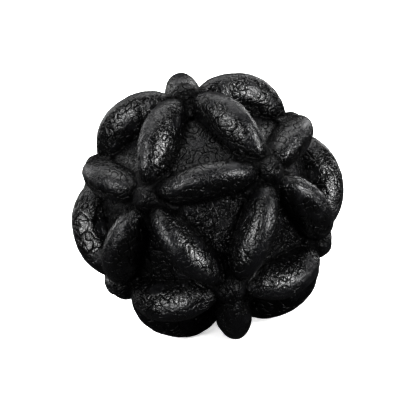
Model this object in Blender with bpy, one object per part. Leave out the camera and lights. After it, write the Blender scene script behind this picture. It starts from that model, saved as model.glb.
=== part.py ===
"""Case opening friction ball: a hollow rubber ball moulded as two half shells.

Its skin follows an icosahedron: a rounded knob at each of the 12 corners, an upright
bean-shaped fin along each of the 30 edges, and a flat recessed floor on each of the 20 faces.

The ball is designed about its own centre, with +Z out of the middle of the front half, and
then set down on a bench, where it rests on one knob and the crests of two fins. World +Z is
up, -Y is the front and the origin is on the bench below the ball's centre. Metres.
"""
import math

import bmesh
import bpy
from mathutils import Matrix, Vector

# Driving dimensions
CREST_RADIUS = 0.0350          # ball centre to the crest of a fin, so the ball is 70 mm across
FLOOR_DISTANCE = 0.0256        # ball centre to each flat floor
CAVITY_RADIUS = 0.0200         # the air space inside
FIN_LENGTH = 0.0270            # end to end, along the fin's buried underside
FIN_HALF_WIDTH = 0.0046        # at its widest
FIN_BULGE_DEPTH = 0.0056       # from the crest down to the widest place
FIN_FOOT_HALF_WIDTH = 0.0038   # at the foot, tucked in below the bulge
FIN_ROOT_DEPTH = 0.0014        # how far the underside lies below the floor
CREST_FULLNESS = 1.3           # 2 makes the crest elliptical, less makes it leaner
KNOB_STANDING = 0.00078        # how far a knob's top stands above the core's corner
KNOB_RADIUS = 0.0040           # of the round head
KNOB_CORNER_REACH = 0.0068     # knob axis to the tips that run down between two fins
KNOB_ROOT_DEPTH = 0.0012       # how far the knob's underside lies below the floor
SEAM_GAP = 0.0003              # between the half shells, and around the pieces inside
STRIP_WIDTH = 0.0100           # gum strip across the joint
STRIP_THICKNESS = 0.0012
PLUG_RADIUS = 0.0050           # self-sealing plug
PLUG_HEIGHT = 0.0042
PLUG_SIDE = 0.0015             # how much of its height is upright
PLUG_SHOULDER_RADIUS = 0.0042
PLUG_SHOULDER_DEPTH = 0.0036   # from the plug's outer face
PLUG_TOP_RADIUS = 0.0025
PLUG_FACE_RADIUS = 0.0015      # the flat middle of the outer face

# Fineness of the facets
FIN_LEVELS = (0.35, 0.55, 0.76, 0.90, 0.975, 1.0)          # from mid flank out to the crest
FIN_ARC_STEPS = 10
KNOB_DOME_ANGLES = (84.0, 62.0, 40.0, 18.0)               # degrees from the knob's axis
KNOB_STEPS = 20
CAVITY_SEGMENTS = 24
CAVITY_RINGS = 12
STRIP_STEPS = 4
PLUG_STEPS = 20

GOLDEN = (1.0 + math.sqrt(5.0)) / 2.0
HUB_TO_FACE = math.acos(math.sqrt((5.0 + 2.0 * math.sqrt(5.0)) / 15.0))   # 37.4 degrees
HUB_DISTANCE = FLOOR_DISTANCE / math.cos(HUB_TO_FACE)
KNOB_TOP = HUB_DISTANCE + KNOB_STANDING
FIN_ROOT = FLOOR_DISTANCE - FIN_ROOT_DEPTH
FIN_HEIGHT = CREST_RADIUS - FIN_ROOT


# ------------------------------------------------------------ directions on the icosahedron

def hub_directions():
    """Unit vectors to the 12 corners. Opposite pairs of edges are centred on X, Y and Z."""
    hubs = []
    for a in (1.0, -1.0):
        for b in (GOLDEN, -GOLDEN):
            hubs += [Vector((a, 0.0, b)), Vector((0.0, b, a)), Vector((b, a, 0.0))]
    return [hub.normalized() for hub in hubs]


def edges_of(hubs):
    """Pairs of neighbouring corners."""
    reach = 1.1 * min((hubs[0] - hub).length for hub in hubs[1:])
    return [(a, b) for i, a in enumerate(hubs) for b in hubs[i + 1:] if (a - b).length < reach]


def turn_to(x_axis, y_axis):
    """The rotation that takes X and Y to two perpendicular unit vectors."""
    return Matrix((x_axis, y_axis, x_axis.cross(y_axis))).transposed().to_4x4()


def fin_turn(hub_a, hub_b):
    """Places a fin, made along Y and standing out along X, between two hubs."""
    return turn_to((hub_a + hub_b).normalized(), (hub_b - hub_a).normalized())


def knob_turn(hub, neighbour):
    """Places a knob, made along X with a fin leaving it towards Y, on a hub."""
    return turn_to(hub, (neighbour - hub * hub.dot(neighbour)).normalized())


# ------------------------------------------------------------ outlines

def fin_half_width(depth):
    """Half a fin's thickness at a depth below its crest: a lean dome, then a slight tuck."""
    if depth < FIN_BULGE_DEPTH:
        share = 1.0 - depth / FIN_BULGE_DEPTH
        return FIN_HALF_WIDTH * math.sqrt(1.0 - share**CREST_FULLNESS)
    share = (depth - FIN_BULGE_DEPTH) / (FIN_HEIGHT - FIN_BULGE_DEPTH)
    return FIN_HALF_WIDTH - (FIN_HALF_WIDTH - FIN_FOOT_HALF_WIDTH) * share**2


def fin_rings():
    """Half ellipses stacked across a fin's thickness, small on the flanks, full at the crest."""
    flank = [(level, fin_half_width((1.0 - level) * FIN_HEIGHT)) for level in FIN_LEVELS]
    flank[-1] = (1.0, 0.0)
    stations = flank + [(level, -width) for level, width in flank[-2::-1]]
    angles = [math.pi * (step / FIN_ARC_STEPS - 0.5) for step in range(FIN_ARC_STEPS + 1)]
    return [[Vector((FIN_ROOT + FIN_HEIGHT * level * math.cos(angle),
                     0.5 * FIN_LENGTH * level * math.sin(angle), width))
             for angle in angles] for level, width in stations]


def floor_height(from_axis):
    """Height of the floor along a knob's axis, at a distance from it towards a face's middle."""
    return (FLOOR_DISTANCE - from_axis * math.sin(HUB_TO_FACE)) / math.cos(HUB_TO_FACE)


def knob_rings():
    """Rings up a knob: a five-pointed foot that runs out between the fins, then a round head."""
    reach = KNOB_CORNER_REACH - KNOB_RADIUS
    stations = [(floor_height(KNOB_CORNER_REACH) - KNOB_ROOT_DEPTH, KNOB_RADIUS, reach),
                (floor_height(KNOB_CORNER_REACH), KNOB_RADIUS, reach)]
    for angle in KNOB_DOME_ANGLES:
        tilt = math.radians(angle)
        height = KNOB_TOP - KNOB_RADIUS * (1.0 - math.cos(tilt))
        stations.append((height, KNOB_RADIUS * math.sin(tilt), 0.0))
    rings = []
    for height, radius, tip in stations:
        ring = []
        for step in range(KNOB_STEPS):
            angle = 2.0 * math.pi * step / KNOB_STEPS
            out = radius + tip * (0.5 - 0.5 * math.cos(5.0 * angle)) ** 2
            ring.append(Vector((height, out * math.cos(angle), out * math.sin(angle))))
        rings.append(ring)
    return rings


def arc_outline(radius, half_angle, steps):
    """Points (across, along) on an arc about the centre, from -half_angle to +half_angle."""
    angles = [half_angle * (2.0 * step / steps - 1.0) for step in range(steps + 1)]
    return [(radius * math.cos(angle), radius * math.sin(angle)) for angle in angles]


# ------------------------------------------------------------ solids

def rubber(name, color, roughness):
    material = bpy.data.materials.new(name)
    material.use_nodes = True
    shader = material.node_tree.nodes["Principled BSDF"]
    shader.inputs["Base Color"].default_value = (*color, 1.0)
    shader.inputs["Roughness"].default_value = roughness
    shader.inputs["Metallic"].default_value = 0.0
    material.diffuse_color = (*color, 1.0)
    return material


def object_from(name, bm, material=None, sharp_angle=35.0):
    """A linked object with outward faces, shaded smooth between its sharp edges."""
    bmesh.ops.recalc_face_normals(bm, faces=bm.faces)
    mesh = bpy.data.meshes.new(name)
    bm.to_mesh(mesh)
    bm.free()
    mesh.shade_smooth()
    mesh.set_sharp_from_angle(angle=math.radians(sharp_angle))
    if material:
        mesh.materials.append(material)
    obj = bpy.data.objects.new(name, mesh)
    bpy.context.scene.collection.objects.link(obj)
    return obj


def loft(rings, closed_loop=False):
    """Skin rings of equal length in order, capping both ends or joining the last to the first."""
    bm = bmesh.new()
    loops = [[bm.verts.new(point) for point in ring] for ring in rings]
    pairs = list(zip(loops, loops[1:]))
    if closed_loop:
        pairs.append((loops[-1], loops[0]))
    else:
        bm.faces.new(loops[0])
        bm.faces.new(loops[-1])
    for low, high in pairs:
        for i in range(len(low)):
            bm.faces.new((low[i - 1], low[i], high[i], high[i - 1]))
    return bm


def as_cutter(obj):
    obj.hide_render = True
    obj.display_type = "WIRE"
    return obj


def place_copies(source, turns, collection):
    """Copies of one moulded feature, all sharing its mesh."""
    for turn in turns:
        copy = as_cutter(bpy.data.objects.new(source.name, source.data))
        copy.matrix_world = turn
        collection.objects.link(copy)


def half_space():
    """A block that covers the front half, short of the joint by half the seam's gap."""
    bm = bmesh.new()
    size = 4.0 * CREST_RADIUS
    bmesh.ops.create_cube(bm, size=size)
    bmesh.ops.translate(bm, verts=bm.verts, vec=(0.0, 0.0, 0.5 * (size + SEAM_GAP)))
    return as_cutter(object_from("front_space", bm))


def cavity():
    bm = bmesh.new()
    bmesh.ops.create_uvsphere(
        bm, u_segments=CAVITY_SEGMENTS, v_segments=CAVITY_RINGS, radius=CAVITY_RADIUS)
    return as_cutter(object_from("cavity", bm))


def core(hubs):
    """The plain icosahedron that the floors belong to."""
    bm = bmesh.new()
    for hub in hubs:
        bm.verts.new(hub * HUB_DISTANCE)
    bmesh.ops.convex_hull(bm, input=bm.verts)
    return object_from("front_half_shell", bm)


def add_boolean(obj, operation, other):
    modifier = obj.modifiers.new(operation.lower(), "BOOLEAN")
    modifier.operation = operation
    modifier.solver = "EXACT"
    if isinstance(other, bpy.types.Collection):
        modifier.operand_type = "COLLECTION"
        modifier.collection = other
    else:
        modifier.object = other


def front_half_shell(hubs, material):
    """The core with its fins and knobs, hollowed and cut at the joint."""
    features = bpy.data.collections.new("fins_and_knobs")
    bpy.context.scene.collection.children.link(features)
    fin = as_cutter(object_from("fin", loft(fin_rings())))
    knob = as_cutter(object_from("knob", loft(knob_rings())))
    edges = edges_of(hubs)
    neighbour = {tuple(b): a for a, b in edges} | {tuple(a): b for a, b in edges}
    place_copies(fin, [fin_turn(a, b) for a, b in edges], features)
    place_copies(knob, [knob_turn(hub, neighbour[tuple(hub)]) for hub in hubs], features)
    shell = core(hubs)
    add_boolean(shell, "UNION", features)
    add_boolean(shell, "DIFFERENCE", cavity())
    add_boolean(shell, "INTERSECT", half_space())
    bpy.context.view_layer.update()
    evaluated = shell.evaluated_get(bpy.context.evaluated_depsgraph_get())
    mesh = bpy.data.meshes.new_from_object(evaluated)
    shell.modifiers.clear()
    shell.data = mesh
    mesh.materials.clear()
    mesh.materials.append(material)
    return shell


def rear_half_shell(front):
    """The same moulding, turned half a turn about an axis in the joint."""
    rear = bpy.data.objects.new("rear_half_shell", front.data)
    rear.matrix_world = Matrix.Rotation(math.pi, 4, "X")
    bpy.context.scene.collection.objects.link(rear)
    return rear


def seam_strip(material):
    """A band of gum inside the wall, across the joint."""
    outer = CAVITY_RADIUS - SEAM_GAP
    half_angle = math.asin(0.5 * STRIP_WIDTH / outer)
    outline = arc_outline(outer, half_angle, STRIP_STEPS)
    outline += arc_outline(outer - STRIP_THICKNESS, half_angle, STRIP_STEPS)[::-1]
    turns = [Matrix.Rotation(2.0 * math.pi * step / CAVITY_SEGMENTS, 3, "Z")
             for step in range(CAVITY_SEGMENTS)]
    rings = [[turn @ Vector((out, 0.0, along)) for out, along in outline] for turn in turns]
    return object_from("seam_strip", loft(rings, closed_loop=True), material)


def inflation_plug(material):
    """A low round plug against the inside of the rear wall, opposite the front."""
    outer = CAVITY_RADIUS - SEAM_GAP
    rim = math.sqrt(outer**2 - PLUG_RADIUS**2)
    profile = [(PLUG_FACE_RADIUS, math.sqrt(outer**2 - PLUG_FACE_RADIUS**2)),
               (PLUG_RADIUS, rim),
               (PLUG_RADIUS, rim - PLUG_SIDE),
               (PLUG_SHOULDER_RADIUS, outer - PLUG_SHOULDER_DEPTH),
               (PLUG_TOP_RADIUS, outer - PLUG_HEIGHT)]
    angles = [2.0 * math.pi * step / PLUG_STEPS for step in range(PLUG_STEPS)]
    rings = [[Vector((out * math.cos(angle), out * math.sin(angle), -along)) for angle in angles]
             for out, along in profile]
    return object_from("inflation_plug", loft(rings), material)


# ------------------------------------------------------------ setting it down on a bench

def support(points, direction):
    """How far a set of points reaches in a direction."""
    return max(point.dot(direction) for point in points)


def resting_place(hubs):
    """Direction and distance from the ball's centre to the bench.

    The ball stands on a knob at its lower rear and on two of the fins that leave it. The
    direction leans from the knob towards the face between those fins, just far enough for
    the knob and the fins to reach equally far.
    """
    knob_hub, fin_hub, third_hub = (
        Vector(place).normalized() for place in
        ((0.0, -GOLDEN, -1.0), (0.0, -GOLDEN, 1.0), (-GOLDEN, -1.0, 0.0)))
    knob_points = [knob_turn(knob_hub, fin_hub) @ point for ring in knob_rings() for point in ring]
    fin_points = [fin_turn(knob_hub, fin_hub) @ point for ring in fin_rings() for point in ring]
    face = (knob_hub + fin_hub + third_hub).normalized()
    aside = (face - knob_hub * face.dot(knob_hub)).normalized()
    least, most = 0.0, HUB_TO_FACE
    for _ in range(40):
        lean = 0.5 * (least + most)
        down = knob_hub * math.cos(lean) + aside * math.sin(lean)
        if support(knob_points, down) > support(fin_points, down):
            least = lean
        else:
            most = lean
    return down, support(fin_points, down)


def set_down(objects, hubs):
    """Parent the pieces to an empty that stands the ball on the bench, front towards -Y."""
    down, distance = resting_place(hubs)
    up = -down
    front = Vector((0.0, 0.0, 1.0))
    back = -(front - up * front.dot(up)).normalized()
    turn = Matrix((back.cross(up), back, up)).to_4x4()
    centre = bpy.data.objects.new("ball_centre", None)
    centre.matrix_world = Matrix.Translation((0.0, 0.0, distance)) @ turn
    bpy.context.scene.collection.objects.link(centre)
    for obj in objects:
        obj.parent = centre


def main():
    for obj in list(bpy.data.objects):
        bpy.data.objects.remove(obj, do_unlink=True)
    black = rubber("moulded_rubber", (0.018, 0.018, 0.020), 0.42)
    gum = rubber("gum_rubber", (0.30, 0.17, 0.08), 0.60)
    hubs = hub_directions()
    front = front_half_shell(hubs, black)
    rear = rear_half_shell(front)
    pieces = [front, rear, seam_strip(gum), inflation_plug(gum)]
    set_down(pieces, hubs)
    bpy.context.view_layer.update()


main()
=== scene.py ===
"""Looks of the case opening friction ball: the two moulded half shells get their engraved rubber
skin, and the gum strip and plug inside keep their shape and get gum rubber.

The skin is worked out once, on the smallest patch that the ball repeats: the triangle between the
middle of a fin, the knob at the fin's end and the middle of a floor. 120 turned and mirrored
copies of it make the ball, and the engraved maze and the waviness are then cut into all of it.
The ball's three mirror planes divide it into eight closed pieces of 15 patches, four to a
moulded half. The four of a half meet without a visible line, and the halves meet at a fine
parting line. Metres.
"""
import math
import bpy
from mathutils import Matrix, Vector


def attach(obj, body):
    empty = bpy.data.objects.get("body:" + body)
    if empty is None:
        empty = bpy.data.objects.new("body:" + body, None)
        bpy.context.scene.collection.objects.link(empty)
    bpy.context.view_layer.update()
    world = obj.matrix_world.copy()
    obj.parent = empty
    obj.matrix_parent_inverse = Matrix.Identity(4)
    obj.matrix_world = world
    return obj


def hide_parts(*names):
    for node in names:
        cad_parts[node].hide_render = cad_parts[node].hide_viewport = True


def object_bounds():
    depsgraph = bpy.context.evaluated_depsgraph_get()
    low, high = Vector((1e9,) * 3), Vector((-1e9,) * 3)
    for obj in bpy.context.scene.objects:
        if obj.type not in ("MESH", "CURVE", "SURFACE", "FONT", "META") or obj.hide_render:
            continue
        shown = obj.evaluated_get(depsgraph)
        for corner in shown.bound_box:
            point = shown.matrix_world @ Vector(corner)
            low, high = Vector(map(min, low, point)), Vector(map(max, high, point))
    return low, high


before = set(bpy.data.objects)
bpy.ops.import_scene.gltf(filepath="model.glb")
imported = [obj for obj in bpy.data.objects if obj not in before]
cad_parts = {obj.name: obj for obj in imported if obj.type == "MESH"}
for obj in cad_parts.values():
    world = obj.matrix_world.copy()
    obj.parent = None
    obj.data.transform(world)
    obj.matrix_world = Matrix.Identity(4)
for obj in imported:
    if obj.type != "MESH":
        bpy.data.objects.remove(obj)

from types import SimpleNamespace

import bpy
import numpy as np
from mathutils import Matrix, Vector

CAD_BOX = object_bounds()

# Sizes of the moulding, from the ball's centre
CREST_RADIUS = 0.0350
FLOOR_DISTANCE = 0.0256
CAVITY_RADIUS = 0.0200
FIN_LENGTH = 0.0270
FIN_HALF_WIDTH = 0.0046
FIN_BULGE_DEPTH = 0.0056
FIN_ROOT = FLOOR_DISTANCE - 0.0014
FIN_HEIGHT = CREST_RADIUS - FIN_ROOT
FOOT_FLARE = 0.03
CREST_FULLNESS = 1.3
KNOB_TOP = 0.0330
KNOB_RADIUS = 0.0040
LOBE_REACH = 0.0072
LOBE_START = 0.84       # a lobe's radius at the knob's centre, as a share of the knob's
LOBE_TIP_RADIUS = 0.0010
LOBE_TIP_SUNK = 0.2     # how far the tip's centre is under the floor, as a share of its radius
LOBE_FILLET = 0.0004    # where the lobes leave the knob's ball
INNER_FILLET = 0.00015  # where the fins, knobs and floors meet
SEAM_HALF_GAP = 0.00015
SEAM_GROOVE = 0.00010   # depth of the fine parting line
SEAM_REACH = 0.0003     # how far from the joint the parting line has faded out
REST_LEAN = math.radians(4.802)   # of the knob underneath, towards the bench
CENTRE_HEIGHT = 0.5 * (CAD_BOX[0][2] + CAD_BOX[1][2])

# Fineness of the skin
ALONG_STEPS = 62        # middle of a fin to the knob
DOWN_STEPS = 92         # crest to the middle of the floor
RAY_STEPS = 500         # in the sections that the even steps are measured on
HALVINGS = 30           # of the bracket round the place where a ray leaves the moulding
TURN_WEIGHT = 0.0016    # the length that a radian of turning counts as
LINING_ROWS = 6
SAME_PLACE = 7          # decimals to which points of neighbouring patches agree
ON_PLANE = 1e-6         # how close to a mirror plane a piece's border lies

# The maze and the waviness of the skin
MAZE_SPACING = 0.00118      # groove to groove
MAZE_DEPTH = 0.00010
MAZE_WAVES = 40
MAZE_PHASE = 0.71
GROOVE_WIDTH = 0.4          # as a value of the maze's field, which is 0 on the groove's bottom
FINE_SPACING = 0.00072      # of the shallow lines between the grooves
FINE_PHASE = 1.93
SHALLOW_LENGTH = 0.0063     # of the waves that decide where the maze was moulded shallower
SHALLOW_PHASE = 1.37
SHALLOW_RANGE = (-1.6, -0.6)   # values of those waves where it is shallowest and full
SHALLOW_SHARE = 0.35        # of the maze's depth that is left there
WAVINESS = ((0.00007, 0.0110, 0.43), (0.00004, 0.0031, 2.13))   # height, length and phase
WAVE_SINK = 0.00004         # keeps the wavy skin's high places near the plain moulding

# How deep the maze is cut, as a share of its full depth on the flanks and floors
BARE_CREST = (0.0001, 0.0009)   # depths below a fin's crest where the maze starts and is full
CREST_SHARE = 0.40
FIN_END = (0.62, 0.9)           # shares of a fin's half length where the maze climbs the crest
FIN_END_SHARE = 0.8
KNOB_SHARE = 0.75
NO_CREST = 9.0                  # millimetres, the distance written where there is no crest
CREASE_REACH = 0.0018           # how far out of an inner corner its shade reaches

GOLDEN = (1.0 + math.sqrt(5.0)) / 2.0
HUB_ANGLE = math.atan(1.0 / GOLDEN)                                   # fin's middle to a knob
FACE_ANGLE = math.acos(math.sqrt((3.0 + math.sqrt(5.0)) / 6.0))       # fin's middle to a floor's
NEIGHBOUR_CHORD = 1.1   # on a unit ball: more than between neighbouring knobs, less than to others
MIDDLE = np.array([1.0, 0.0, 0.0])
HUB = np.array([math.cos(HUB_ANGLE), math.sin(HUB_ANGLE), 0.0])
FACE = np.array([math.cos(FACE_ANGLE), 0.0, math.sin(FACE_ANGLE)])
PATCHES = 120
EIGHTH = PATCHES // 8


# ------------------------------------------------------------------ the shape of the moulding

def blend(a, b, reach):
    """The smaller of two distances, with a fillet: where they differ by less than reach, a
    parabola in their difference rounds the inner corner."""
    nearness = np.clip(1.0 - np.abs(a - b) / reach, 0.0, 1.0)
    return np.minimum(a, b) - 0.25 * reach * nearness**2


def crest_depth(p):
    """How far below a fin's crest a point is. Its level is the size of the half ellipse through
    it, in height above the fin's root and half length, and the level is 1 on the crest."""
    level = np.hypot((p[..., 0] - FIN_ROOT) / FIN_HEIGHT, p[..., 1] / (0.5 * FIN_LENGTH))
    return (1.0 - level) * FIN_HEIGHT


def fin_distance(p):
    """Signed distance to the fin, roughly. Across it, thickness and depth below the crest lie on
    the curve (thickness / half width)^2 + (1 - depth / bulge depth)^fullness = 1, and below the
    bulge the flank runs straight at the ball's centre, flared slightly at the foot."""
    depth = crest_depth(p)
    above = np.clip(1.0 - depth / FIN_BULGE_DEPTH, 0.0, None)
    below = np.clip((depth - FIN_BULGE_DEPTH) / (FIN_HEIGHT - FIN_BULGE_DEPTH), 0.0, 1.0)
    across = p[..., 2] * (CREST_RADIUS - FIN_BULGE_DEPTH) / p[..., 0] / (1.0 + FOOT_FLARE * below)
    return FIN_HALF_WIDTH * (np.sqrt((across / FIN_HALF_WIDTH) ** 2 + above**CREST_FULLNESS) - 1.0)


def knob_distance(p):
    """Signed distance to the knob's ball and to the tapered lobe that runs down from it between
    two fins: the distance to a slanting line less a radius that shrinks along it."""
    centre = HUB * (KNOB_TOP - KNOB_RADIUS)
    ball = np.linalg.norm(p - centre, axis=-1) - KNOB_RADIUS
    aside = FACE - HUB * HUB.dot(FACE)
    aside /= np.linalg.norm(aside)
    slope = math.acos(HUB.dot(FACE))
    tip_height = (FLOOR_DISTANCE - LOBE_REACH * math.sin(slope)) / math.cos(slope)
    tip = HUB * (tip_height - LOBE_TIP_SUNK * LOBE_TIP_RADIUS) + aside * LOBE_REACH
    line = tip - centre
    share = np.clip((p - centre) @ line / line.dot(line), 0.0, 1.0)
    nearest = centre + share[..., None] * line
    radius = LOBE_START * KNOB_RADIUS * (1.0 - share) + LOBE_TIP_RADIUS * share
    lobe = np.linalg.norm(p - nearest, axis=-1) - radius
    return blend(ball, lobe, LOBE_FILLET)


def floor_distance(p):
    """Signed distance to the flat floor."""
    return p @ FACE - FLOOR_DISTANCE


def moulding_distance(p):
    """The floor, the fin and the knob, joined with small fillets."""
    core = blend(floor_distance(p), knob_distance(p), INNER_FILLET)
    return blend(core, fin_distance(p), INNER_FILLET)


def skin_points(directions):
    """Where rays from the ball's centre leave the moulding, by halving a bracket that reaches
    from inside the floors to outside the crests."""
    near = np.full(directions.shape[:-1], 0.8 * FLOOR_DISTANCE)
    far = np.full(directions.shape[:-1], 1.05 * CREST_RADIUS)
    for _ in range(HALVINGS):
        middle = 0.5 * (near + far)
        outside = moulding_distance(directions * middle[..., None]) > 0.0
        far = np.where(outside, middle, far)
        near = np.where(outside, near, middle)
    return directions * far[..., None]


def even_places(points, count):
    """Shares (0 to 1) along rows of points that space count + 1 samples by length travelled plus
    TURN_WEIGHT for each radian turned, so tight curves get more of them."""
    steps = np.diff(points, axis=-2)
    length = np.linalg.norm(steps, axis=-1)
    heading = steps / np.maximum(length, 1e-12)[..., None]
    turned = np.arccos(np.clip((heading[..., 1:, :] * heading[..., :-1, :]).sum(-1), -1.0, 1.0))
    cost = length.copy()
    cost[..., 1:] += TURN_WEIGHT * turned
    total = np.concatenate([np.zeros_like(cost[..., :1]), np.cumsum(cost, axis=-1)], axis=-1)
    total /= total[..., -1:]
    wanted = np.linspace(0.0, 1.0, count + 1)
    shares = np.linspace(0.0, 1.0, points.shape[-2])
    if points.ndim == 2:
        return np.interp(wanted, total, shares)
    return np.array([np.interp(wanted, row, shares) for row in total])


def turned_between(start, end, share):
    """Unit vectors at a share of the angle from start to end."""
    angle = np.arccos(np.clip((start * end).sum(-1, keepdims=True), -1.0, 1.0))
    return (np.sin((1.0 - share) * angle) * start + np.sin(share * angle) * end) / np.sin(angle)


def make_patch():
    """The patch as a grid: rows run from the fin's middle to the knob along the crest, columns
    from the crest down the flank and over the floor to its middle."""
    fine = np.linspace(0.0, 1.0, RAY_STEPS)[:, None]
    crest = skin_points(turned_between(MIDDLE[None], HUB[None], fine))
    along = even_places(crest, ALONG_STEPS)[:, None]
    starts = turned_between(MIDDLE[None], HUB[None], along)[:, None, :]
    sections = skin_points(turned_between(starts, FACE[None, None], fine[None]))
    down = even_places(sections, DOWN_STEPS)[..., None]
    return skin_points(turned_between(starts, FACE[None, None], down))


# ------------------------------------------------------------------ engraving and masks

def soft_step(low, high, value):
    """0 below low, 1 above high, 3t^2 - 2t^3 between."""
    t = np.clip((value - low) / (high - low), 0.0, 1.0)
    return t * t * (3.0 - 2.0 * t)


def wave_field(p, length, first_phase):
    """Sum of equal plane waves of one length, in directions spread evenly over half a sphere,
    scaled to unit variance. Where it passes through zero, lines wander over any surface at a
    steady spacing of half a wave."""
    total = np.zeros(p.shape[:-1])
    for i in range(MAZE_WAVES):
        height = 1.0 - (i + 0.5) / MAZE_WAVES
        angle = i * 2.0 * math.pi / GOLDEN**2
        flat = math.sqrt(1.0 - height**2)
        direction = np.array([flat * math.cos(angle), flat * math.sin(angle), height])
        total += np.sin(p @ direction * (2.0 * math.pi / length) + first_phase * (i + 1.0) ** 2)
    return total * math.sqrt(2.0 / MAZE_WAVES)


def patch_normals(patch):
    """Outward unit normals: the cross product of the grid's two directions, laid into the mirror
    planes that bound the patch, so that neighbouring patches agree along their shared edges."""
    normals = np.cross(np.gradient(patch, axis=0), np.gradient(patch, axis=1))
    third = np.cross(HUB, FACE)
    third /= np.linalg.norm(third)
    for edge, across in ((np.s_[:, 0], np.array([0.0, 0.0, 1.0])),
                         (np.s_[0], np.array([0.0, 1.0, 0.0])), (np.s_[-1], third)):
        normals[edge] -= (normals[edge] @ across)[..., None] * across
    normals[0, 0], normals[-1, 0], normals[:, -1] = MIDDLE, HUB, FACE
    return normals / np.linalg.norm(normals, axis=-1, keepdims=True)


def patch_masks(p):
    """Masks for the rubber: how deep the maze is cut, how far a point is from the plane of a
    fin's crest in millimetres, and how close it is to an inner corner, where the second
    smallest of the distances to floor, fin and knob is small."""
    floor, fin, knob = floor_distance(p), fin_distance(p), knob_distance(p)
    on_fin = fin < np.minimum(floor, knob)
    on_knob = knob < np.minimum(floor, fin)
    near_end = soft_step(*FIN_END, np.abs(p[..., 1]) / (0.5 * FIN_LENGTH))
    cut = np.maximum(soft_step(*BARE_CREST, crest_depth(p)), FIN_END_SHARE * near_end)
    engraving = np.where(on_fin, CREST_SHARE + (1.0 - CREST_SHARE) * cut, 1.0)
    engraving = engraving * np.where(on_knob, KNOB_SHARE, 1.0)
    from_crest = np.where(on_fin, 1000.0 * np.abs(p[..., 2]), NO_CREST)
    second = np.sort(np.stack([np.abs(floor), np.abs(fin), np.abs(knob)]), axis=0)[1]
    crease = 1.0 - soft_step(0.0, CREASE_REACH, second)
    return engraving, from_crest, crease


# ------------------------------------------------------------------ the ball and its eight pieces

def hub_directions():
    """The 12 knobs: cyclic turns of (1, 0, golden ratio) with every sign."""
    hubs = []
    for a in (1.0, -1.0):
        for b in (GOLDEN, -GOLDEN):
            hubs += [(a, 0.0, b), (0.0, b, a), (b, a, 0.0)]
    hubs = np.array(hubs)
    return hubs / np.linalg.norm(hubs, axis=1, keepdims=True)


def patch_frames():
    """The 120 turned and mirrored patch frames, as rows for the directions of a fin's middle, its
    length and its thickness, sorted by the eighth of the ball that the patch lies in."""
    hubs = hub_directions()
    first, second = np.triu_indices(len(hubs), 1)
    near = np.linalg.norm(hubs[first] - hubs[second], axis=1) < NEIGHBOUR_CHORD
    a, b = hubs[first[near]], hubs[second[near]]
    middle = (a + b) / np.linalg.norm(a + b, axis=1, keepdims=True)
    length = (b - a) / np.linalg.norm(b - a, axis=1, keepdims=True)
    fins = np.stack([middle, length, np.cross(middle, length)], axis=1)
    frames = np.concatenate([fins * np.array([1.0, u, v])[None, :, None]
                             for u in (1.0, -1.0) for v in (1.0, -1.0)])
    patch_middle = (HUB + FACE + MIDDLE) @ frames
    eighth = (patch_middle < 0.0) @ np.array([1, 2, 4])
    return frames[np.argsort(eighth, kind="stable")]


def resting_turn():
    """The turn from the ball's own axes to the bench's. The ball stands on its lower rear knob,
    leaning towards the face between two of that knob's fins, and the front faces -Y."""
    knob, fin_end, third = (np.array(place) / math.hypot(1.0, GOLDEN) for place in
                            ((0.0, -GOLDEN, -1.0), (0.0, -GOLDEN, 1.0), (-GOLDEN, -1.0, 0.0)))
    face = knob + fin_end + third
    aside = face - knob * face.dot(knob)
    aside /= np.linalg.norm(aside)
    up = -(knob * math.cos(REST_LEAN) + aside * math.sin(REST_LEAN))
    back = up * up[2] - np.array([0.0, 0.0, 1.0])
    back /= np.linalg.norm(back)
    return np.stack([np.cross(back, up), back, up])


def patch_faces(rows, columns):
    """Quads of the patch's grid, and the triangles that close it at the middle of the floor."""
    index = np.arange(rows * columns).reshape(rows, columns)
    quads = np.stack([index[:-1, :-1], index[1:, :-1], index[1:, 1:], index[:-1, 1:]], axis=-1)
    return quads[:, :-1].reshape(-1, 4), quads[:, -1, :3].reshape(-1, 3)


def relief(places, normals, engraving, joint):
    """Places with the waviness, the maze's grooves and the fine parting line cut in along the
    normals, the maze's field, and the engraving as it was moulded. A groove's depth falls off
    as exp(-(field / groove width)^2)."""
    field = wave_field(places, 2.0 * MAZE_SPACING, MAZE_PHASE)
    full = soft_step(*SHALLOW_RANGE, wave_field(places, SHALLOW_LENGTH, SHALLOW_PHASE))
    engraving = engraving * (SHALLOW_SHARE + (1.0 - SHALLOW_SHARE) * full)
    wave = sum(height * wave_field(places, length, phase) for height, length, phase in WAVINESS)
    cut = MAZE_DEPTH * engraving * np.exp(-(field / GROOVE_WIDTH) ** 2)
    rise = (wave - WAVE_SINK - cut) * (1.0 - joint) - SEAM_GROOVE * joint
    return places + rise[..., None] * normals, field, engraving


def joined_normals(places, base, hand, quads, tris):
    """Smooth normals at every grid point: the faces' area vectors, added up over all the faces of
    the ball that share the point's place. hand is 1 for a turned patch, -1 for a mirrored one."""
    _, shared = np.unique(np.round(base, SAME_PLACE) + 0.0, axis=0, return_inverse=True)
    shared = shared.reshape(places.shape[:2])
    total = np.zeros((shared.max() + 1, 3))
    for faces in (quads, tris):
        corners = [places[:, column] for column in faces.T]
        if len(corners) == 4:
            vector = np.cross(corners[2] - corners[0], corners[3] - corners[1])
        else:
            vector = np.cross(corners[1] - corners[0], corners[2] - corners[0])
        vector = vector * hand[:, None, None]
        for column in faces.T:
            at = shared[:, column].ravel()
            for axis in range(3):
                total[:, axis] += np.bincount(at, vector[..., axis].ravel(), len(total))
    total /= np.linalg.norm(total, axis=1, keepdims=True)
    return total[shared], shared


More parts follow.
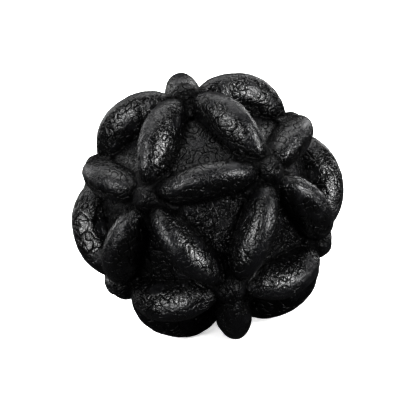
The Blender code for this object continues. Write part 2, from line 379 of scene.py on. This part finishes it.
def whole_ball():
    """Everything about the skin, patch by patch: places on the plain moulding (base) and with
    their relief, normals, which points coincide, masks, and which patches are only turned."""
    patch = make_patch()
    frames = patch_frames()
    engraving, from_crest, crease = (mask.ravel() for mask in patch_masks(patch))
    base = np.einsum("ik,nkl->nil", patch.reshape(-1, 3), frames)
    outward = np.einsum("ik,nkl->nil", patch_normals(patch).reshape(-1, 3), frames)
    joint = np.exp(-(base[..., 2] / SEAM_REACH) ** 2)
    places, field, engraving = relief(base, outward, engraving[None], joint)
    side = np.repeat([1.0, -1.0], PATCHES // 2)[:, None]   # the front's patches come first
    places[..., 2] = side * np.maximum(side * places[..., 2], SEAM_HALF_GAP)
    quads, tris = patch_faces(*patch.shape[:2])
    halves_apart = base + np.array([0.0, 0.0, 1.0]) * side[..., None]
    hand = np.sign(np.linalg.det(frames))
    normals, shared = joined_normals(places, halves_apart.reshape(-1, 3), hand, quads, tris)
    masks = {"maze": field, "fine": wave_field(base, 2.0 * FINE_SPACING, FINE_PHASE),
             "engraving": engraving,
             "from_crest": np.broadcast_to(from_crest, field.shape),
             "crease": np.broadcast_to(crease, field.shape)}
    return SimpleNamespace(places=places, base=base, normals=normals, shared=shared, masks=masks,
                           turned=hand > 0.0, quads=quads, tris=tris)


def outward_faces(corners, turned, grid):
    """The grid's faces on each of a piece's patches, the other way round on mirrored ones."""
    return np.concatenate([own[grid if plain else grid[:, ::-1]]
                           for own, plain in zip(corners, turned)])


def border_loop(base, middle):
    """The skin's points on the mirror planes, in order of their angle round the middle."""
    border = np.flatnonzero((np.abs(base) < ON_PLANE).any(axis=1))
    aside = np.cross(middle, np.array([0.0, 0.0, 1.0]))
    upward = np.cross(middle, aside)
    angle = np.arctan2(base[border] @ upward, base[border] @ aside)
    return border[np.argsort(angle)]


def lining(edge, centre):
    """The cut faces and the piece's share of the air space: the skin's edge is carried in to the
    air space's rim, then over its wall to the middle of the piece in even steps of angle."""
    rim = edge / np.linalg.norm(edge, axis=1, keepdims=True)
    share = np.linspace(0.0, 1.0, LINING_ROWS + 1)[:-1, None, None]
    wall = CAVITY_RADIUS * turned_between(rim[None], centre[None, None], share)
    at_joint = np.abs(edge[:, 2]) < 1.5 * SEAM_HALF_GAP
    wall[0, at_joint, 2] = edge[at_joint, 2]
    places = np.concatenate([wall.reshape(-1, 3), CAVITY_RADIUS * centre[None]])
    count = len(edge)
    here = np.arange(count)
    ahead = (here + 1) % count
    quads = [np.stack([ahead, here, here + count, ahead + count], axis=-1) + count * row
             for row in range(LINING_ROWS)]
    tip = np.stack([ahead, here, np.full(count, count)], axis=-1) + count * LINING_ROWS
    return places, np.concatenate(quads), tip


def flat_normals(places, faces):
    """The faces' own normals, one for each corner."""
    corners = places[faces]
    vector = np.cross(corners[:, 1] - corners[:, 0], corners[:, -1] - corners[:, 0])
    vector /= np.maximum(np.linalg.norm(vector, axis=1, keepdims=True), 1e-15)
    return np.repeat(vector, faces.shape[1], axis=0)


def eighth_piece(name, which, ball, material):
    """One of the eight: 15 patches of skin, the cut faces and its share of the air space, as one
    closed mesh whose skin has the whole ball's smooth normals."""
    mine = slice(EIGHTH * which, EIGHTH * (which + 1))
    _, first, vertex = np.unique(ball.shared[mine].ravel(), return_index=True, return_inverse=True)
    vertex = vertex.reshape(EIGHTH, -1)
    skin = ball.places[mine].reshape(-1, 3)[first]
    skin_base = ball.base[mine].reshape(-1, 3)[first]
    skin_normals = ball.normals[mine].reshape(-1, 3)[first]
    skin_faces = [outward_faces(vertex, ball.turned[mine], grid) for grid in (ball.quads, ball.tris)]

    middle = np.sign(skin_base.mean(axis=0)) / math.sqrt(3.0)
    border = border_loop(skin_base, middle)
    inner, inner_quads, inner_tip = lining(skin[border], middle)
    renumber = np.concatenate([border, len(skin) + np.arange(len(inner))])
    inner_faces = [renumber[inner_quads], renumber[inner_tip]]

    turn = resting_turn().T
    places = np.concatenate([skin, inner]) @ turn + np.array([0.0, 0.0, CENTRE_HEIGHT])
    places[:, 2] = np.maximum(places[:, 2], 0.0)
    mesh = bpy.data.meshes.new(name)
    mesh.from_pydata(places, [], [face for part in skin_faces + inner_faces for face in part.tolist()])
    for mask, values in ball.masks.items():
        own = np.concatenate([values[mine].ravel()[first], np.zeros(len(inner))])
        layer = mesh.attributes.new(mask, "FLOAT", "POINT")
        layer.data.foreach_set("value", own.astype(np.float32))
    mesh.shade_smooth()
    corner_normals = [(skin_normals @ turn)[part.ravel()] for part in skin_faces]
    corner_normals += [flat_normals(places, part) for part in inner_faces]
    mesh.normals_split_custom_set(np.concatenate(corner_normals))
    mesh.materials.append(material)
    piece = bpy.data.objects.new(name, mesh)
    bpy.context.scene.collection.objects.link(piece)
    return piece


# ------------------------------------------------------------------ shader groups

class Wires:
    """Shorthand for adding and joining nodes in a tree. In a group, start and end are the nodes
    that hold its inputs and outputs."""

    def __init__(self, tree, start=None, end=None):
        self.tree, self.start, self.end = tree, start, end

    def feed(self, socket, value):
        """Joins another node's output to the socket, or sets its value."""
        if isinstance(value, bpy.types.NodeSocket):
            self.tree.links.new(value, socket)
        elif value is not None:
            socket.default_value = value

    def node(self, kind, values=(), **settings):
        made = self.tree.nodes.new("ShaderNode" + kind)
        for key, value in settings.items():
            setattr(made, key, value)
        for key, value in dict(values).items():
            self.feed(made.inputs[key], value)
        return made

    def math(self, operation, a, b=None):
        return self.node("Math", enumerate([a, b]), operation=operation).outputs[0]

    def add(self, a, *others):
        """The sum of the values, one Add node after another."""
        for other in others:
            a = self.math("ADD", a, other)
        return a

    def times(self, a, b):
        return self.math("MULTIPLY", a, b)

    def less(self, a, *others):
        """a less each of the others."""
        for other in others:
            a = self.math("SUBTRACT", a, other)
        return a

    def stretched(self, vector, factors):
        return self.node("VectorMath", enumerate([vector, factors]), operation="MULTIPLY").outputs[0]

    def remap(self, value, low, high, to_low=0.0, to_high=1.0, kind="SMOOTHSTEP"):
        made = self.node("MapRange", interpolation_type=kind)
        for socket, item in zip(made.inputs, (value, low, high, to_low, to_high)):
            self.feed(socket, item)
        return made.outputs[0]

    def between(self, share, low, high):
        """low where the share is 0, high where it is 1."""
        return self.remap(share, 0.0, 1.0, low, high, "LINEAR")

    def mix(self, share, a, b):
        made = self.node("Mix", data_type="RGBA")
        for place, value in ((0, share), (6, a), (7, b)):
            self.feed(made.inputs[place], value)
        return made.outputs[2]

    def noise(self, where, scale, detail=2.0, roughness=0.5):
        made = self.node("TexNoise", {"Vector": where, "Scale": scale, "Detail": detail,
                                      "Roughness": roughness})
        return made.outputs["Fac"]

    def dots(self, where, scale):
        """Distance to the nearest of scattered points, in spacings."""
        return self.node("TexVoronoi", {"Vector": where, "Scale": scale}).outputs["Distance"]

    def bumped(self, millimetres):
        return self.node("Bump", {"Height": millimetres, "Distance": 0.001,
                                  "Strength": 1.0}).outputs["Normal"]

    def placed(self, group, **values):
        made = self.tree.nodes.new("ShaderNodeGroup")
        made.node_tree = group
        for key, value in values.items():
            self.feed(made.inputs[key], value)
        return made.outputs


def new_group(name, inputs, outputs):
    """A node group with named sockets. Each input is (name, type, value)."""
    group = bpy.data.node_groups.new(name, "ShaderNodeTree")
    for label, kind, value in inputs:
        socket = group.interface.new_socket(label, in_out="INPUT", socket_type="NodeSocket" + kind)
        if value is not None:
            socket.default_value = value
    for label, kind in outputs:
        group.interface.new_socket(label, in_out="OUTPUT", socket_type="NodeSocket" + kind)
    start, end = group.nodes.new("NodeGroupInput"), group.nodes.new("NodeGroupOutput")
    return group, Wires(group, start, end)


def grain_group():
    """Fine skin of moulded rubber: close grain with pits about three grains apart, and broad
    cloudy patches."""
    group, wires = new_group(
        "rubber_grain",
        [("Where", "Vector", None), ("Grain", "Float", 5000.0), ("Cloud", "Float", 160.0)],
        [("Height", "Float"), ("Patches", "Float")])
    start, end = wires.start.outputs, wires.end.inputs
    fine = wires.noise(start["Where"], start["Grain"], 3.0, 0.6)
    pits = wires.remap(wires.dots(start["Where"], wires.times(start["Grain"], 0.35)), 0.08, 0.3)
    wires.feed(end["Height"], wires.times(fine, pits))
    cloud = wires.noise(start["Where"], start["Cloud"], 4.0, 0.55)
    wires.feed(end["Patches"], wires.remap(cloud, 0.35, 0.68))
    return group


def wear_group():
    """Handling wear: 1 where a high, exposed place has been rubbed, broken up by scuffs."""
    group, wires = new_group(
        "handling_wear",
        [("Where", "Vector", None), ("Exposed", "Float", 0.0), ("Amount", "Float", 0.5)],
        [("Mask", "Float")])
    start, end = wires.start.outputs, wires.end.inputs
    blotches = wires.noise(start["Where"], 260.0, 5.0, 0.6)
    scuffs = wires.noise(wires.stretched(start["Where"], (1.0, 1.0, 6.0)), 900.0, 3.0, 0.7)
    broken = wires.add(wires.remap(blotches, 0.3, 0.7), wires.remap(scuffs, 0.5, 0.7))
    rubbed = wires.times(start["Exposed"], broken)
    wires.feed(end["Mask"], wires.times(rubbed, start["Amount"]))
    return group


def dust_group():
    """Pale specks of dust and lint, and a haze of dust where Caught is high."""
    group, wires = new_group(
        "dust",
        [("Where", "Vector", None), ("Caught", "Float", 0.0), ("Amount", "Float", 0.5)],
        [("Mask", "Float")])
    start, end = wires.start.outputs, wires.end.inputs
    chosen = wires.remap(wires.noise(start["Where"], 1100.0, 2.0, 0.7), 0.62, 0.72)
    specks = wires.times(wires.remap(wires.dots(start["Where"], 1500.0), 0.22, 0.10), chosen)
    haze = wires.times(wires.noise(start["Where"], 420.0, 5.0, 0.65), start["Caught"])
    both = wires.add(specks, wires.times(haze, 0.5))
    wires.feed(end["Mask"], wires.times(both, start["Amount"]))
    return group


# ------------------------------------------------------------------ materials

# Colours of the rubber, of the shade painted into its grooves and inner corners, and of the dust on it
CREST_BLACK = (0.0034, 0.0035, 0.0045, 1.0)
FLANK_BLACK = (0.0011, 0.0011, 0.0013, 1.0)
RUBBED_BLACK = (0.0070, 0.0073, 0.0092, 1.0)
# Painted shade: the near-black colour laid into the maze's grooves and the inner corners
PAINTED_SHADE_BLACK = (0.0004, 0.0004, 0.0004, 1.0)
PALE_DUST = (0.06, 0.06, 0.06, 1.0)

# Depths of the rubber's finest relief, in millimetres
GRAIN_DEPTHS = (0.014, 0.028)    # engraved, and smooth
FINE_DEPTHS = (0.035, 0.075)     # on fins and knobs, and on floors
RIDGE_DEPTHS = (0.19, 0.30)      # on fins and knobs, and on floors
RIDGE_SCALE = 2000.0
GROOVE_EDGE_DEPTH = 0.16
CREST_LINE_DEPTH = 0.05

# Values of the maze's and the fine lines' fields at the outside and the inside of a line
GROOVE_EDGE = (0.30, 0.05)
FINE_EDGE = (0.45, 0.05)
CREST_LINE = (0.16, 0.05)        # millimetres from the crest's plane
FLOOR_RANGE = (7.0, 8.9)         # of the mask from_crest, which is NO_CREST on the floors

ROUGHNESS = (0.30, 0.19)         # smooth, and engraved
ROUGHER = {"patches": 0.06, "groove": 0.15, "crease": 0.03, "dust": 0.3}
GLOSS = 0.56                     # specular level of open, plain skin
# Specular level taken off as painted shade: in the inner corners, in the grooves and on the floors
SHADE_GLOSS_CUT = {"crease": 0.36, "groove": 0.38, "floor": 0.14}
LEAST_GLOSS = 0.05

GUM_DARK = (0.25, 0.13, 0.055, 1.0)
GUM_PALE = (0.36, 0.21, 0.10, 1.0)
GUM_RUBBED = (0.42, 0.28, 0.15, 1.0)
GUM_DUST = (0.55, 0.50, 0.42, 1.0)
GUM_ROUGHNESS = (0.55, 0.72)     # dark, and pale
GUM_GRAIN_DEPTH = 0.05           # millimetres


def new_material(name):
    material = bpy.data.materials.new(name)
    material.use_nodes = True
    tree = material.node_tree
    return material, Wires(tree), tree.nodes["Principled BSDF"]


def rubber_relief(wires, where, grain, mask, smooth, line, on_floor):
    """Height in millimetres: grain, less wandering ridges (where noise passes through its
    middle), less the fine lines, the grooves' edges and the mould line along each crest."""
    from_middle = wires.less(wires.noise(where, RIDGE_SCALE, 1.0, 0.5), 0.5)
    ridges = wires.math("ABSOLUTE", from_middle)
    fine = wires.remap(wires.math("ABSOLUTE", mask["fine"]), *FINE_EDGE)
    crest_line = wires.remap(mask["from_crest"], *CREST_LINE)
    return wires.less(wires.times(grain, wires.between(smooth, *GRAIN_DEPTHS)),
                      wires.times(fine, wires.between(on_floor, *FINE_DEPTHS)),
                      wires.times(ridges, wires.between(on_floor, *RIDGE_DEPTHS)),
                      wires.times(line, GROOVE_EDGE_DEPTH),
                      wires.times(crest_line, CREST_LINE_DEPTH))


def moulded_rubber(groups):
    """Black rubber: engraved flanks and floors, smoother crests and knobs, greyer where handled,
    with painted shade: near black in the grooves and the inner corners, and less reflective there
    and on the floors."""
    material, wires, shader = new_material("moulded_rubber")
    where = wires.node("TexCoord").outputs["Object"]
    mask = {name: wires.node("Attribute", attribute_name=name).outputs["Fac"]
            for name in ("maze", "fine", "engraving", "from_crest", "crease")}
    smooth = wires.less(1.0, mask["engraving"])
    on_floor = wires.remap(mask["from_crest"], *FLOOR_RANGE)
    line = wires.remap(wires.math("ABSOLUTE", mask["maze"]), *GROOVE_EDGE)
    line = wires.times(line, mask["engraving"])
    grain = wires.placed(groups["grain"], Where=where, Grain=5200.0, Cloud=150.0)
    wear = wires.placed(groups["wear"], Where=where, Exposed=smooth, Amount=0.5)["Mask"]
    dust = wires.placed(groups["dust"], Where=where, Caught=mask["crease"], Amount=0.07)["Mask"]

    colour = wires.mix(mask["engraving"], CREST_BLACK, FLANK_BLACK)
    colour = wires.mix(wear, colour, RUBBED_BLACK)
    # Painted shade: the grooves and the inner corners are coloured near black
    colour = wires.mix(wires.math("MAXIMUM", line, mask["crease"]), colour, PAINTED_SHADE_BLACK)
    colour = wires.mix(dust, colour, PALE_DUST)
    wires.feed(shader.inputs["Base Color"], colour)

    roughness = wires.add(wires.between(mask["engraving"], *ROUGHNESS),
                          wires.times(grain["Patches"], ROUGHER["patches"]),
                          wires.times(line, ROUGHER["groove"]),
                          wires.times(mask["crease"], ROUGHER["crease"]),
                          wires.times(dust, ROUGHER["dust"]))
    wires.feed(shader.inputs["Roughness"], roughness)
    # Painted shade: less reflection in the inner corners, in the grooves and on the floors
    painted_shade = wires.add(wires.times(mask["crease"], SHADE_GLOSS_CUT["crease"]),
                       wires.times(line, SHADE_GLOSS_CUT["groove"]), wires.times(on_floor, SHADE_GLOSS_CUT["floor"]))
    gloss = wires.math("MAXIMUM", wires.less(GLOSS, painted_shade), LEAST_GLOSS)
    wires.feed(shader.inputs["Specular IOR Level"], gloss)

    height = rubber_relief(wires, where, grain["Height"], mask, smooth, line, on_floor)
    wires.feed(shader.inputs["Normal"], wires.bumped(height))
    return material


def gum_rubber(groups):
    """Brown, matt, slightly dusty gum, of the strip and the plug inside."""
    material, wires, shader = new_material("gum_rubber_skin")
    where = wires.node("TexCoord").outputs["Object"]
    grain = wires.placed(groups["grain"], Where=where, Grain=3800.0, Cloud=220.0)
    wear = wires.placed(groups["wear"], Where=where, Exposed=grain["Patches"], Amount=0.4)["Mask"]
    dust = wires.placed(groups["dust"], Where=where, Caught=0.6, Amount=0.5)["Mask"]
    colour = wires.mix(grain["Patches"], GUM_DARK, GUM_PALE)
    colour = wires.mix(wear, colour, GUM_RUBBED)
    colour = wires.mix(dust, colour, GUM_DUST)
    wires.feed(shader.inputs["Base Color"], colour)
    wires.feed(shader.inputs["Roughness"], wires.remap(grain["Patches"], 0.0, 1.0, *GUM_ROUGHNESS))
    wires.feed(shader.inputs["Normal"], wires.bumped(wires.times(grain["Height"], GUM_GRAIN_DEPTH)))
    return material


# ------------------------------------------------------------------ studio

CAMERA_AZIMUTH, CAMERA_ELEVATION, CAMERA_ROLL = (math.radians(a) for a in (-1.93, 15.74, -8.89))
CAMERA_DISTANCE = 1.126
LENS, SENSOR = 400.0, 36.0               # millimetres
BALL_RIGHT, BALL_DOWN = 0.0020, 0.0014   # how far the ball stands off the middle of the frame

# Each softbox: azimuth and elevation in degrees, width, height and radiance
SOFTBOX_DISTANCE = 1.0
SOFTBOXES = {
    "right_strip": (54.0, 8.0, 0.48, 0.80, 27.0),
    "left_strip": (-52.0, 24.0, 0.44, 0.66, 20.0),
    "overhead": (180.0, 72.0, 1.2, 0.9, 4.4),
    "right_rear": (142.0, 16.0, 0.40, 0.60, 5.0),
    "left_rear": (-142.0, 16.0, 0.40, 0.60, 4.0),
}
FILL = 0.05              # even light from all round, which the camera sees as white
SWEEP_REACH = 6.0        # of the floor, from the ball to its edge
SWEEP_RETURN = 0.05      # share of light that the floor sends back up
SWEEP_GLOW = 0.62        # brightness that only the camera sees
CONTRAST_GAMMA = 0.72


def direction_at(azimuth, elevation):
    """From the ball towards a place; azimuth 0 is the front, and positive is to its right."""
    return Vector((math.sin(azimuth) * math.cos(elevation),
                   -math.cos(azimuth) * math.cos(elevation), math.sin(elevation)))


def add_camera():
    away = direction_at(CAMERA_AZIMUTH, CAMERA_ELEVATION)
    level = Vector((0.0, 0.0, 1.0)).cross(away).normalized()
    rise = away.cross(level)
    right = level * math.cos(CAMERA_ROLL) + rise * math.sin(CAMERA_ROLL)
    up = away.cross(right)
    aim = Vector((0.0, 0.0, CENTRE_HEIGHT)) - right * BALL_RIGHT + up * BALL_DOWN
    camera = bpy.data.objects.new("camera", bpy.data.cameras.new("camera"))
    camera.data.lens = LENS
    camera.data.sensor_width = SENSOR
    camera.data.clip_start, camera.data.clip_end = 0.01, 50.0
    place = Matrix((right, up, away)).transposed().to_4x4()
    place.translation = aim + away * CAMERA_DISTANCE
    camera.matrix_world = place
    bpy.context.scene.collection.objects.link(camera)
    bpy.context.scene.camera = camera


def add_softbox(name, azimuth, elevation, width, height, radiance):
    """A rectangular light that faces the ball. Its power is radiance x pi x area."""
    lamp = bpy.data.lights.new(name, "AREA")
    lamp.shape = "RECTANGLE"
    lamp.size, lamp.size_y = width, height
    lamp.energy = radiance * math.pi * width * height
    softbox = bpy.data.objects.new(name, lamp)
    away = direction_at(math.radians(azimuth), math.radians(elevation))
    softbox.location = Vector((0.0, 0.0, CENTRE_HEIGHT)) + away * SOFTBOX_DISTANCE
    softbox.rotation_euler = away.to_track_quat("Z", "Y").to_euler()
    bpy.context.scene.collection.objects.link(softbox)


def add_world():
    """White behind the ball for the camera, and a dim even fill for everything else."""
    world = bpy.data.worlds.new("studio")
    world.use_nodes = True
    wires = Wires(world.node_tree)
    seen = wires.node("LightPath").outputs["Is Camera Ray"]
    background = world.node_tree.nodes["Background"]
    background.inputs["Color"].default_value = (1.0, 1.0, 1.0, 1.0)
    wires.feed(background.inputs["Strength"], wires.between(seen, FILL, 1.0))
    bpy.context.scene.world = world


def sweep_paper():
    """Pale paper with faint fibres for the camera, and nearly black for all other light."""
    material, wires, shader = new_material("pale_paper")
    seen = wires.node("LightPath").outputs["Is Camera Ray"]
    where = wires.node("TexCoord").outputs["Object"]
    fibre = wires.remap(wires.noise(where, 300.0, 4.0), 0.3, 0.7, 0.985, 1.0, "LINEAR")
    paper = wires.node("CombineColor", {"Red": fibre, "Green": fibre, "Blue": fibre}).outputs[0]
    dim = wires.mix(seen, (SWEEP_RETURN, SWEEP_RETURN, SWEEP_RETURN, 1.0), paper)
    wires.feed(shader.inputs["Base Color"], dim)
    wires.feed(shader.inputs["Roughness"], 0.9)
    wires.feed(shader.inputs["Specular IOR Level"], 0.0)
    wires.feed(shader.inputs["Emission Color"], wires.mix(seen, (0.0, 0.0, 0.0, 1.0), paper))
    wires.feed(shader.inputs["Emission Strength"], SWEEP_GLOW)
    return material


def add_floor():
    """A pale sweep, seen as bright white paper, that sends little light back up."""
    mesh = bpy.data.meshes.new("floor")
    corners = [(SWEEP_REACH * x, SWEEP_REACH * y, 0.0) for x, y in ((-1, -1), (1, -1), (1, 1), (-1, 1))]
    mesh.from_pydata(corners, [], [(0, 1, 2, 3)])
    mesh.materials.append(sweep_paper())
    floor = bpy.data.objects.new("floor", mesh)
    bpy.context.scene.collection.objects.link(floor)


def main():
    add_camera()
    add_world()
    for name, settings in SOFTBOXES.items():
        add_softbox(name, *settings)
    add_floor()
    groups = {"grain": grain_group(), "wear": wear_group(), "dust": dust_group()}
    rubber, gum = moulded_rubber(groups), gum_rubber(groups)
    ball = whole_ball()
    for which in range(8):
        half = "front" if which < 4 else "rear"
        piece = eighth_piece(f"{half}_moulding_{which % 4 + 1}", which, ball, rubber)
        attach(piece, "root")
        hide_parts(f"{half}_half_shell")
    for node in ("seam_strip", "inflation_plug"):
        for material_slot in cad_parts[node].material_slots:
            material_slot.material = gum
    bpy.context.scene.view_settings.view_transform = "Standard"
    bpy.context.scene.view_settings.gamma = CONTRAST_GAMMA


main()
